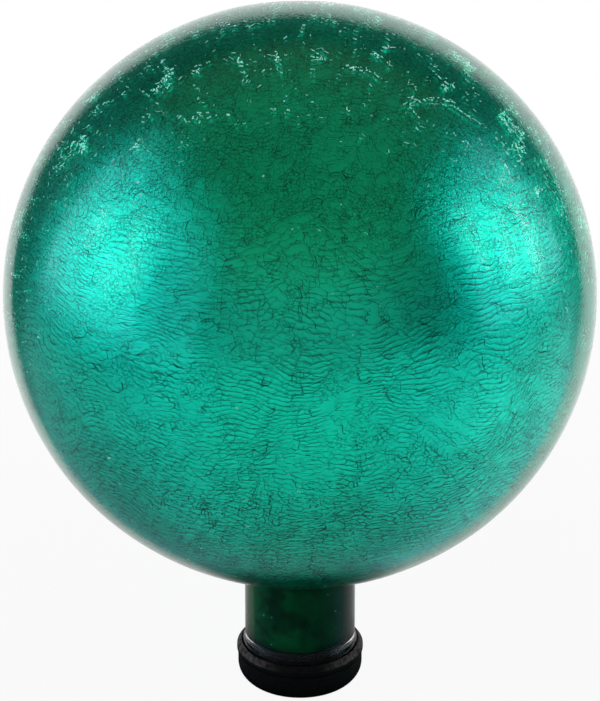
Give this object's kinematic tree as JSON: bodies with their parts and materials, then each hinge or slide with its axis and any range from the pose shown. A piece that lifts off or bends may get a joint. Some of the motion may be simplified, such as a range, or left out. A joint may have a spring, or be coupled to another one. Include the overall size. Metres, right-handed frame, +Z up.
{
  "type": "garden gazing ball",
  "caption": "Hollow mirrored glass garden ball with a short integral neck, a bung inside the neck and a push-on rubber foot cap.",
  "frame": {"origin": "middle of the foot cap's flat bottom face, the lowest point of the object", "axes": "+Z up along the axis of neck and ball, from the foot cap to the top of the ball; X and Y are interchangeable, as every piece is round about Z"},
  "size_m": [0.254, 0.254, 0.3135],
  "materials": {
    "mirrored_glass": "clear crackled glass over an emerald mirror film",
    "bung_rubber": "matt black",
    "cap_rubber": "matt black, moulded"
  },
  "bodies": {
    "globe": {"glass_globe": "mirrored_glass", "neck_plug": "bung_rubber"},
    "cap": {"neck_cap": "cap_rubber"}
  },
  "joints": [
    {"name": "cap_slide", "type": "slide", "parent": "globe", "child": "cap", "axis": [0, 0, -1], "range_m": [0, 0.025]}
  ]
}
